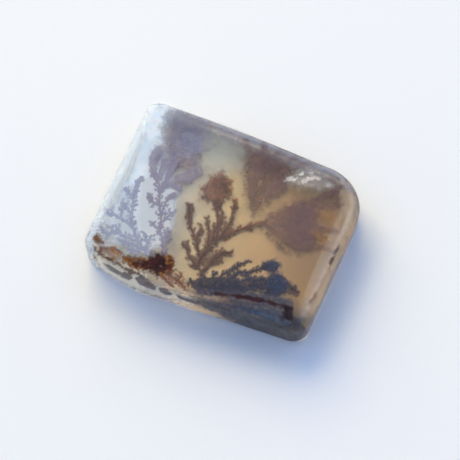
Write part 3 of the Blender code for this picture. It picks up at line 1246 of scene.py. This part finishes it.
# %% Grow the oak
OAK = (
    ((203, 277), (200, 270), (199, 262), (203, 256), (207, 250), (210, 245), (213, 239), (217, 236),
     (217, 230), (218, 222), (218, 215), (216, 208), (216, 203)),
    ((218, 240), (224, 232), (228, 226), (231, 220), (233, 212), (235, 205), (235, 199)),
    ((214, 241), (221, 238), (229, 234), (237, 230), (245, 227), (252, 224), (260, 222), (266, 221)),
    ((200, 258), (198, 250), (197, 243), (195, 237), (192, 230), (189.5, 223), (190, 215), (190, 208),
     (188, 204)),
    ((197, 240), (199, 233), (201, 228), (200, 224)),
    ((208, 246), (208, 238), (209, 231), (208, 224), (207, 217)),
    ((213, 240), (214, 232), (215, 226)),
    ((218, 228), (221, 220), (222, 212)),
    ((196, 268), (193, 261), (189, 256), (187, 249), (187, 243), (188, 240)),
    ((187, 249), (184, 245), (182, 244)),
    ((203, 270), (209, 263), (216, 258), (223, 254), (232, 253)),
    ((205, 268), (213, 262), (222, 261)),
    ((210, 262), (218, 253), (226, 251)),
    ((199, 266), (194, 265), (190, 266)),
)

oak = Growth(3)
oak.fern(OAK, thick=0.18, thin=0.13, reach=0.85, twig=0.1, spacing=0.17)
oak.mass(((222, 174), (220, 176), (212, 180), (209, 184), (203, 188), (206, 193), (202, 197),
          (208, 200), (214, 200), (216, 205), (220, 201), (225, 198), (230, 194), (229, 188),
          (228, 184), (231, 180), (226, 178)), 0.11, 0.6, 0.5, 0.5, ragged=0.5)
oak.cloud(((222, 172), (219, 175), (211, 178), (208, 183), (202, 188), (205, 193), (201, 198),
           (208, 202), (214, 202), (216, 207), (221, 203), (226, 199), (231, 195), (230, 188),
           (229, 184), (232, 180), (227, 177)), 0.8, 1.3, 0.75, ragged=0.45)
oak.cloud(((222, 171), (214, 177), (215, 185), (227, 186), (231, 179)), 0.65, 1.3, 0.0, ragged=0.4)
oak.mass(((186, 205), (190, 202), (194, 205), (193, 211), (189, 213)), 0.12, 0.9, 0.3)
oak.mass(((213, 200), (220, 200), (220, 208), (215, 208)), 0.12, 0.9, 0.3, 0.0)
oak.cloud(((212, 199), (221, 199), (221, 209), (214, 209)), 0.7, 0.5, 0.0)
oak.club(((233, 212), (235, 204), (235, 198)), 1.5, 2.2, 0.10, 0.7)
oak.club(((190, 224), (190, 214)), 1.2, 1.8, 0.10, 0.3)
oak.club(((182, 245), (185, 244)), 2.2, 2.6, 0.11, 0.4)
oak.mass(((196, 262), (203, 248), (211, 243), (214, 250), (206, 262), (203, 272)), 0.10, 0.4, 0.5, 0.5)
settle("oak_fern", oak, 5.5, 0.15, seen(94, 76, 86), seen(160, 112, 96),
       haze=0.38, flatness=0.4, mottle=0.12)

# %% [markdown]
# ## The dark bush in front
# At the front right the oxide is slate blue to black: a low bush of stubby limbs that runs into two
# dense dark knots, about a millimetre down. A bluish film lies over the two knots.

# %% Grow the bush
BUSH = (
    ((190, 279), (194, 285), (200, 290)),
    ((200, 289), (215, 281), (224, 273), (232, 269), (239, 264), (245, 262), (248, 260)),
    ((213, 284), (213, 277), (216, 272)),
    ((222, 284), (232, 277), (240, 273), (250, 273), (258, 271), (264, 268), (270, 265)),
    ((236, 284), (246, 280), (256, 280), (266, 278)),
    ((250, 286), (258, 285), (268, 282), (276, 283)),
    ((280, 288), (288, 284), (293, 289), (298, 293)),
    ((228, 282), (228, 275), (226, 270)),
    ((203, 286), (202, 281), (205, 277)),
)

bush = Growth(4)
bush.fern(BUSH, thick=0.2, thin=0.14, reach=0.72, twig=0.12, spacing=0.26)
bush.mass(((195, 282), (205, 278), (220, 279), (236, 280), (246, 287), (242, 293), (225, 292),
           (210, 294), (197, 291)), 0.12, 0.88, 0.5, 0.3)
bush.cloud(((192, 281), (204, 277), (220, 278), (237, 279), (249, 287), (244, 295), (225, 294),
            (208, 296), (194, 291)), 0.8, 0.9, 0.2, ragged=0.6)
bush.mass(((262, 269), (264, 263), (272, 262), (277, 264), (276, 270), (268, 271)),
          0.12, 0.93, 0.35, 0.0)
bush.cloud(((261, 270), (263, 262), (272, 260), (279, 263), (278, 271), (268, 273)), 0.9, 0.5, 0.0)
bush.mass(((267, 292), (268, 281), (273, 275), (281, 276), (286, 284), (285, 291), (276, 295)),
          0.12, 0.93, 0.5, 0.0)
bush.cloud(((264, 294), (266, 280), (272, 273), (282, 274), (288, 283), (287, 292), (276, 297)),
           0.93, 0.8, 0.0)
bush.mass(((242, 275), (247, 271), (252, 273), (249, 278)), 0.11, 0.85, 0.3, 0.1)
bush.mass(((285, 283), (290, 282), (299, 291), (297, 296), (288, 293)), 0.12, 0.75, 0.6, 0.9)
bush.mass(((250, 280), (262, 279), (268, 285), (262, 290), (250, 288)), 0.12, 0.7, 0.6, 0.4)
bush.cloud(((246, 281), (262, 277), (270, 285), (264, 293), (248, 291)), 0.6, 0.8, 0.2)
settle("bush_fern", bush, 1.2, 0.4, seen(40, 54, 88), seen(92, 84, 106),
       haze=0.45, flatness=0.4, mottle=0.12)
blue = Growth(31)
blue.cloud(((264, 262), (276, 260), (281, 266), (278, 273), (266, 272)), 0.42, 0.7, 0.2, ragged=0.4)
blue.cloud(((268, 276), (280, 274), (290, 281), (287, 292), (274, 296), (267, 287)),
           0.5, 0.7, 0.0, ragged=0.4)
blue.cloud(((214, 277), (240, 272), (262, 276), (266, 290), (240, 290), (214, 287)),
           0.25, 1.0, 0.9, ragged=0.3)
film("bush_blue", blue, (0.045, 0.08, 0.15), (0.13, 0.11, 0.15))

# %% [markdown]
# ## The rusty root
# The two left ferns rise from a knot of iron oxide, nearly black inside and bright orange at its
# edge. An orange thread runs from it to the left end and turns back in a long loop. The knot was
# cut open by the polish, so its black and its orange rim are films on the skin.

# %% Grow the root
MOSS = (
    ((163, 270), (170, 276), (178, 280), (186, 287)),
    ((160, 272), (166, 281), (173, 287)),
    ((170, 276), (172, 270), (171, 267)),
    ((178, 280), (181, 276), (181, 273)),
)
RUST_LINES = (
    ((130, 261), (122, 254), (115, 250), (108, 249), (103, 248), (100, 252), (103, 256), (110, 259),
     (116, 258)),
    ((104, 257), (110, 259), (117, 263), (124, 268)),
    ((147, 266), (137, 264), (130, 261), (122, 257)),
    ((98, 233), (96, 237), (98, 241), (104, 244)),
    ((146, 262), (136, 258), (126, 256)),
    ((124, 268), (132, 272), (141, 274)),
)

moss = Growth(6)
moss.fern(MOSS, thick=0.15, thin=0.12, reach=0.5, twig=0.1, spacing=0.22)
moss.mass(((162, 269), (176, 272), (190, 284), (186, 290), (174, 287), (164, 278)), 0.1, 0.4, 0.6, 0.5)
settle("rust_moss", moss, 0.6, 0.2, seen(112, 68, 62), seen(172, 118, 98), haze=0.25)

halo = Growth(13)
halo.cloud(((130, 261), (144, 262), (150, 257), (160, 255), (169, 256), (173, 263), (170, 271),
            (160, 275), (150, 272), (140, 269), (131, 267)), 0.85, 0.7, 0.5, ragged=0.6)
halo.cloud(((121, 256), (132, 259), (146, 263), (147, 268), (134, 267), (122, 261)),
           0.7, 0.5, 0.6, ragged=0.5)
for line in RUST_LINES:
    halo.cloud(ribbon(line, 1.7), 0.72, 0.25, 0.05, ragged=0.3, marble=0.15)
halo.cloud(((100, 248), (110, 248), (122, 253), (124, 259), (112, 260), (101, 256)),
           0.45, 0.8, 0.9, ragged=0.6)
halo.cloud(((94, 236), (97, 232), (101, 237), (102, 241), (98, 243), (95, 241)), 0.7, 0.4, 0.3)
halo.cloud(((134, 259), (142, 259), (147, 262), (147, 268), (140, 267), (134, 264)),
           0.8, 0.5, 0.0, ragged=0.5)
film("rust_halo", halo, (0.055, 0.012, 0.002), (0.46, 0.20, 0.05), step=FINE_STEP, mottle=0.25, lift=3)

loop = Growth(12)
for line in RUST_LINES:
    loop.club(line, 1.0, 1.6, 0.085, 0.4)
settle("rust_loop", loop, 0.12, 0.04, seen(40, 12, 6), seen(110, 48, 18),
       haze=0.3, step=FINE_STEP, mottle=0.2)

embers = Growth(20)
for line in (((163, 270), (165, 264), (164, 257)), ((167, 271), (169, 264), (168, 257)),
             ((171, 268), (173, 263)), ((158, 273), (164, 272)), ((146, 269), (153, 272))):
    embers.club(line, 0.8, 1.3, 0.085, 0.6)
embers.cloud(((162, 271), (163, 256), (171, 256), (175, 262), (173, 270), (167, 273)),
             0.75, 0.7, 0.6, ragged=0.6)
settle("ember_rim", embers, 0.14, 0.04, seen(90, 24, 4), seen(200, 112, 40),
       haze=0.5, step=FINE_STEP, mottle=0.25)

root = Growth(7)
root.cloud(((143, 264), (149, 258), (157, 258), (164, 257), (168, 261), (166, 269), (158, 273),
            (149, 272)), 0.96, 1.1, 0.1, ragged=0.9)
root.cloud(((128, 263), (138, 264), (147, 263), (148, 268), (138, 267), (129, 266)),
           0.8, 0.4, 0.6, ragged=0.6)
root.cloud(((147, 259), (153, 251), (160, 252), (163, 258), (156, 261)), 0.55, 1.0, 0.2)
root.cloud(((166, 268), (167, 258), (170, 258), (170, 268)), 0.7, 0.3, 0.8, ragged=0.6)
film("root_knot", root, (0.012, 0.004, 0.008), (0.10, 0.022, 0.010),
     step=FINE_STEP, mottle=0.25, lift=3.5)

# %% [markdown]
# ## Smoke on the right
# Two deep plumes fan out towards the far right, brown and soft, with streaks that run from the tip of
# the oak's long limb to the edge of the stone. A pale streak stays free between them.

# %% Let the smoke spread
SMOKE_SOURCE = (250, 217)
FIRST_PLUME = ((254, 214), (251, 206), (249, 196), (247, 184), (246, 170), (248, 160), (254, 154),
               (265, 150), (277, 152), (287, 163), (293, 174), (287, 185), (276, 197), (263, 208))
SECOND_PLUME = ((262, 223), (274, 211), (289, 203), (304, 199), (317, 203), (321, 214), (319, 228),
                (316, 242), (308, 252), (296, 253), (281, 248), (269, 236))
STREAKS = (  # places along the streak, its half width in pixels, opacity, tone
    (((250, 152), (246, 142), (243, 136)), 3.0, 0.6, 0.5),
    (((262, 152), (266, 144), (268, 139)), 3.4, 0.75, 0.2),
    (((276, 156), (282, 150), (290, 148)), 3.2, 0.6, 0.5),
    (((284, 168), (292, 160), (302, 156)), 3.0, 0.7, 0.2),
    (((292, 172), (302, 164), (318, 163)), 2.6, 0.6, 0.4),
    (((312, 201), (330, 194), (344, 186)), 3.4, 0.7, 0.25),
    (((318, 207), (332, 206), (345, 203)), 3.6, 0.6, 0.35),
    (((316, 226), (326, 229), (338, 232)), 3.2, 0.6, 0.2),
    (((310, 246), (322, 248), (334, 252)), 3.4, 0.45, 0.5),
    (((322, 184), (332, 180), (341, 180)), 3.0, 0.6, 0.4),
)

plume = Growth(8)
for corners in (FIRST_PLUME, SECOND_PLUME):
    plume.cloud(corners, 0.82, 2.0, 0.45, streak=SMOKE_SOURCE, ragged=0.35, marble=0.1)
plume.mass(((252, 212), (247, 204), (244, 190), (243, 170), (248, 158), (256, 164), (258, 186),
            (260, 204)), 0.11, 0.3, 1.0, 0.5, ragged=0.8)
plume.cloud(((285, 209), (300, 203), (314, 206), (314, 232), (308, 247), (296, 246), (286, 236)),
            0.7, 2.2, 0.1, ragged=0.2, marble=0.08)
plume.cloud(((248, 160), (262, 156), (276, 160), (276, 172), (262, 176), (250, 172)),
            0.6, 2.0, 0.15, ragged=0.3, marble=0.08)
plume.cloud(((266, 186), (278, 178), (288, 178), (280, 192), (268, 198)),
            0.6, 1.4, 0.1, ragged=0.3, marble=0.08)
for path, half_width, cover, tone in STREAKS:
    plume.cloud(ribbon(path, half_width), cover, 0.9, tone, ragged=0.3, marble=0.1)
settle("smoke_plumes", plume, 5.3, 0.3, seen(108, 97, 114), seen(164, 132, 118), haze=0.15, mottle=0.08)

glow = Growth(19)
for path in (((318, 213), (328, 217), (337, 222)), ((312, 233), (322, 237), (332, 243)),
             ((338, 182), (343, 189), (347, 198)), ((286, 160), (292, 157), (296, 156))):
    glow.cloud(ribbon(path, 4.0), 0.5, 1.4, 0.5, ragged=0.4)
settle("amber_streaks", glow, 5.0, 0.1, seen(176, 120, 74), seen(206, 156, 104), haze=0.4, mottle=0.15)

# %% [markdown]
# ## Slate bands at the front
# Along the front the chalcedony is banded: slate blue, a fine dark red line, grey blue again and a
# paler streak. The bands reach the front wall and make it nearly black from its middle to the corner.

# %% Lay the bands
slate = Growth(9)
slate.cloud(((200, 291), (222, 293), (245, 293), (275, 297), (293, 302), (292, 312), (266, 306),
             (235, 301)), 0.72, 0.8, 0.75, ragged=0.3)
slate.cloud(((198, 299), (216, 301), (240, 305), (270, 311), (293, 315), (300, 322), (290, 330),
             (262, 324), (238, 316), (212, 307)), 0.88, 0.6, 0.35, ragged=0.3)
settle("slate_bands", slate, 0.7, 0.2, seen(34, 34, 50), seen(110, 116, 142), haze=0.4, mottle=0.2)

roll = Growth(28)
roll.cloud(((182, 288), (212, 290), (240, 293), (260, 296), (260, 302), (244, 306), (224, 308),
            (200, 302)), 0.5, 0.7, 0.6, ragged=0.2)
film("slate_roll", roll, (0.09, 0.07, 0.09), (0.24, 0.18, 0.18), step=0.2, mottle=0.15)

front = Growth(14)
front.cloud(((184, 296), (196, 299), (215, 304), (240, 312), (262, 319), (285, 325), (299, 322),
             (307, 330), (298, 345), (280, 343), (255, 336), (232, 321), (204, 308), (190, 301)),
            0.93, 0.4, 0.2, ragged=0.2)
settle("slate_wall", front, 0.3, 0.1, seen(16, 13, 20), seen(74, 76, 92),
       haze=0.4, step=0.16, mottle=0.2)

bands = Growth(29)
bands.cloud(((206, 288), (240, 289), (270, 293), (291, 299), (291, 304), (268, 299), (240, 296),
             (210, 294)), 0.4, 0.3, 1.0, ragged=0.1)
bands.cloud(((228, 300), (262, 305), (283, 311), (285, 319), (262, 314), (236, 308)),
            0.45, 0.3, 0.8, ragged=0.1)
film("grey_bands", bands, (0.05, 0.055, 0.08), (0.13, 0.145, 0.19))

pale = Growth(15)
pale.cloud(ribbon(((246, 310), (264, 315), (290, 325)), 1.7), 0.6, 0.25, 0.7, ragged=0.1)
film("pale_streak", pale, (0.09, 0.13, 0.17), (0.14, 0.20, 0.26), step=FINE_STEP)

vein = Growth(10)
vein.cloud(ribbon(((212, 293), (235, 296), (255, 299), (272, 303), (284, 306), (293, 310)), 1.8),
           0.85, 0.25, 0.6, ragged=0.15)
vein.cloud(((283, 304), (293, 307), (292, 321), (284, 318)), 0.85, 0.4, 0.0, ragged=0.1)
film("red_vein", vein, (0.010, 0.005, 0.010), (0.055, 0.012, 0.012), step=FINE_STEP, lift=1.5)

# %% [markdown]
# ## Marks on the walls
# Thin brown lenses lie in a cream strip along the front wall, cut open by the polish. The strip is
# painted paler and warmer than its mineral, as painted light for the warm light that comes out through
# the wall.
# A few dark marks and a rusty crack show on the right.

# %% Set the marks
WALL_SPOTS = (
    ((103, 263), (110, 265), (118, 270), (123, 274), (118, 274.5), (110, 270.5)),
    ((119, 273), (125, 271.5), (130, 274), (133, 278), (129, 280), (122, 277.5)),
    ((135, 278), (140, 276), (149, 280), (156, 287), (155, 290), (147, 288), (139, 284)),
    ((158, 287.5), (165, 288.5), (172, 293), (173, 295), (166, 295), (160, 291.5)),
    ((176, 294), (184, 297), (196, 301), (198, 304), (188, 302), (178, 298)),
    ((93.5, 255), (96, 257), (97, 260), (94, 258)),
    ((94, 245.5), (96.5, 247), (96.5, 252), (94, 250.5)),
    ((136, 272.5), (142, 275), (147, 278), (142, 277.5)),
)
lenses = Growth(11)
for corners in WALL_SPOTS:
    lenses.cloud(corners, 0.93, 0.22, 0.5, ragged=0.05)
film("wall_spots", lenses, (0.11, 0.08, 0.07), (0.24, 0.17, 0.14), step=0.11, lift=2.5)

# the wall's own cream, painted paler and warmer as painted light that comes out through the front wall
strip = Growth(16)
strip.cloud(((96, 252), (104, 262), (120, 271), (140, 279), (160, 287), (182, 294), (196, 299),
             (196, 306), (178, 301), (158, 296), (138, 290), (118, 281), (102, 269)),
            0.68, 0.5, 0.5, ragged=0.2)
strip.cloud(((93, 242), (106, 253), (124, 262), (146, 271), (148, 290), (118, 282), (102, 270),
             (93, 258)), 0.66, 0.7, 0.2)
film("cream_strip_and_light", strip, (0.92, 0.78, 0.54), (0.98, 0.88, 0.68), step=0.2)

marks = Growth(17)
marks.club(((338, 248), (336, 252)), 1.4, 2.0, 0.1, 0.1)
marks.club(((333, 258), (331, 263)), 1.6, 2.0, 0.1, 0.1)
marks.club(((309, 306), (313, 300), (317, 293)), 0.9, 1.0, 0.08, 0.9)
marks.club(((312, 301), (309, 299)), 0.7, 0.9, 0.08, 0.9)
settle("right_marks", marks, 0.3, 0.1, seen(60, 38, 30), seen(170, 110, 66), haze=0.6)
strokes = Growth(33)
for path, half_width, cover, tone in (
    (((339, 246), (336, 251), (333, 254)), 1.1, 0.7, 0.1),
    (((334, 256), (331, 261), (329.5, 266)), 1.0, 0.7, 0.0),
    (((309, 306), (312, 300), (315, 296), (317, 291)), 0.7, 0.55, 0.9),
    (((314, 298), (319, 296)), 0.6, 0.5, 1.0),
    (((311, 301), (307, 300)), 0.6, 0.5, 0.9),
):
    strokes.cloud(ribbon(path, half_width), cover, 0.25, tone, ragged=0.2)
film("mark_strokes", strokes, (0.05, 0.028, 0.028), (0.34, 0.13, 0.05), step=0.1, lift=2)

# %% [markdown]
# ## Smoky back edge, with painted shade
# Along its back edge the stone is smoky right up to the skin. A dark film on the polish paints the thin
# dark line of the edge, and a smoky veil paints shade over the rolled edge where it would mirror a
# bright facet.
# The same veil carries the ends of the smoke's streaks.

# %% Smoke the back edge and paint its shade
back_edge_shade = Growth(30)
back_edge_shade.cloud(ribbon(((186, 113), (204, 123), (230, 135), (250, 143), (262, 148)), 3.8),
                0.6, 0.9, 0.9, ragged=0.1)
back_edge_shade.cloud(ribbon(((250, 143), (272, 153), (296, 164), (318, 173), (334, 179)), 3.6),
                0.55, 0.9, 0.6, ragged=0.1)

smoke_and_shade_veil = Growth(21)
smoke_and_shade_veil.cloud(((174, 96), (200, 104), (240, 122), (280, 139), (320, 156), (350, 172), (362, 188),
            (350, 193), (338, 186), (308, 172), (272, 159), (238, 145), (204, 130), (182, 118)),
           0.6, 1.8, 0.9, streak=SMOKE_SOURCE, ragged=0.15)
smoke_and_shade_veil.cloud(((176, 96), (210, 106), (260, 127), (310, 149), (345, 164), (344, 180), (306, 164),
            (256, 143), (206, 122)), 0.55, 0.6, 0.0, ragged=0.05)
film("back_edge_shade", back_edge_shade, (0.26, 0.23, 0.24), (0.42, 0.42, 0.47), step=FINE_STEP, mottle=0.06)
film("back_smoke_and_shade", smoke_and_shade_veil, (0.24, 0.30, 0.40), (0.41, 0.34, 0.31), step=0.2, mottle=0.06, lift=1.5)

smoke = Growth(32)
for corners, cover in ((FIRST_PLUME, 0.16), (SECOND_PLUME, 0.18)):
    smoke.cloud(corners, cover, 1.8, 0.6, streak=SMOKE_SOURCE, ragged=0.35, marble=0.2)
smoke.cloud(((288, 208), (304, 202), (317, 208), (316, 230), (309, 247), (296, 247), (286, 234)),
            0.34, 2.0, 0.0, ragged=0.3, marble=0.1)
smoke.cloud(((248, 152), (264, 148), (282, 156), (282, 168), (264, 172), (249, 168)),
            0.26, 1.6, 0.0, ragged=0.3)
smoke.cloud(((266, 186), (278, 175), (292, 175), (284, 190), (270, 198)), 0.28, 1.4, 0.05, ragged=0.3)
smoke.cloud(((262, 222), (272, 214), (284, 216), (284, 226), (272, 230)),
            0.26, 1.4, 1.0, streak=SMOKE_SOURCE, ragged=0.4)
for path, half_width, cover, tone in STREAKS:
    smoke.cloud(ribbon(path, half_width), 0.42 * cover, 0.8, tone, ragged=0.25)
film("smoke_tint", smoke, (0.11, 0.075, 0.115), (0.38, 0.22, 0.15), mottle=0.08, lift=2)

# %% [markdown]
# ## A healed crack
# Near the far right corner the stone once cracked and healed. The crack is a crumpled film just
# under the polish. A near-white film on the polish over its flakes is partly their pale mineral and
# partly painted glints, as if they caught the light like silver paper.

# %% Scatter the flakes
FLAKES = (  # places along the flake, its half width in pixels, opacity, tone
    (((283, 181), (291, 179), (299, 180)), 1.5, 0.75, 1.0),
    (((297, 178), (304, 173), (317, 171)), 1.7, 0.75, 1.0),
    (((300, 184), (309, 179), (322, 178)), 1.5, 0.6, 0.8),
    (((306, 174), (314, 176), (323, 182)), 1.3, 0.6, 0.7),
    (((322, 181), (328, 184), (335, 182)), 2.2, 0.35, 0.4),
    (((305, 170), (312, 168), (320, 168)), 1.3, 0.35, 0.7),
)

flakes = Growth(18)
flakes.mass(((284, 178), (292, 170), (304, 167), (318, 170), (332, 178), (338, 187), (326, 188),
             (310, 186), (296, 187)), 0.13, 0.16, 0.8, 0.6, ragged=1.0)
flakes.cloud(((290, 178), (300, 170), (314, 169), (326, 176), (330, 184), (318, 187), (300, 187)),
             0.4, 1.0, 0.0, ragged=0.8)
settle("healed_crack", flakes, 0.2, 0.03, seen(176, 170, 172), seen(240, 236, 230),
       haze=0.4, flatness=0.15, step=0.1, mottle=0.3)
# painted glints: a near-white film over the flakes, partly their own pale mineral
crack_glints = Growth(23)
crack_glints.cloud(((286, 176), (300, 168), (318, 166), (334, 176), (334, 188), (318, 190), (302, 187),
              (288, 184)), 0.3, 1.4, 0.3, ragged=0.3)
for path, half_width, cover, tone in FLAKES:
    crack_glints.cloud(ribbon(path, half_width), cover, 0.28, tone, ragged=0.25)
film("crack_flakes_and_glints", crack_glints, (0.42, 0.41, 0.42), (0.96, 0.92, 0.82), step=0.08, mottle=0.25)

# Pale greenish film inside the back edge: partly the stone's own haze, partly painted light that lifts
# the shade there
green = Growth(24)
green.cloud(((196, 138), (214, 132), (236, 140), (243, 152), (240, 170), (226, 172), (208, 165),
             (199, 152)), 0.22, 3.0, 0.5, ragged=0.8)
film("green_haze_and_painted_light", green, (0.66, 0.70, 0.62), (0.80, 0.80, 0.70), step=0.2)

# The right rim: the stone's own golden amber, and along the roll a painted lavender reflection of the
# room's light
gold_and_reflection = Growth(26)
gold_and_reflection.cloud(((340, 190), (352, 185), (360, 200), (356, 224), (346, 232), (343, 208)),
           0.42, 1.2, 0.4, ragged=0.2, marble=0.05)
gold_and_reflection.cloud(((340, 252), (347, 250), (330, 292), (312, 318), (304, 310), (320, 282)),
           0.52, 1.2, 0.0, ragged=0.2, marble=0.05)
# painted reflection: a pale lavender stripe along the rolled edge
gold_and_reflection.cloud(ribbon(((343, 206), (334, 236), (320, 268), (300, 312)), 5.0),
           0.30, 0.7, 1.0, ragged=0.05, marble=0.0)
gold_and_reflection.cloud(ribbon(((346, 184), (352, 200), (349, 218), (341, 244), (331, 270)), 3.6),
           0.58, 0.8, 0.0, ragged=0.1, marble=0.05)
film("golden_edge_and_reflection", gold_and_reflection, (0.70, 0.49, 0.24), (0.58, 0.56, 0.58), step=0.2)
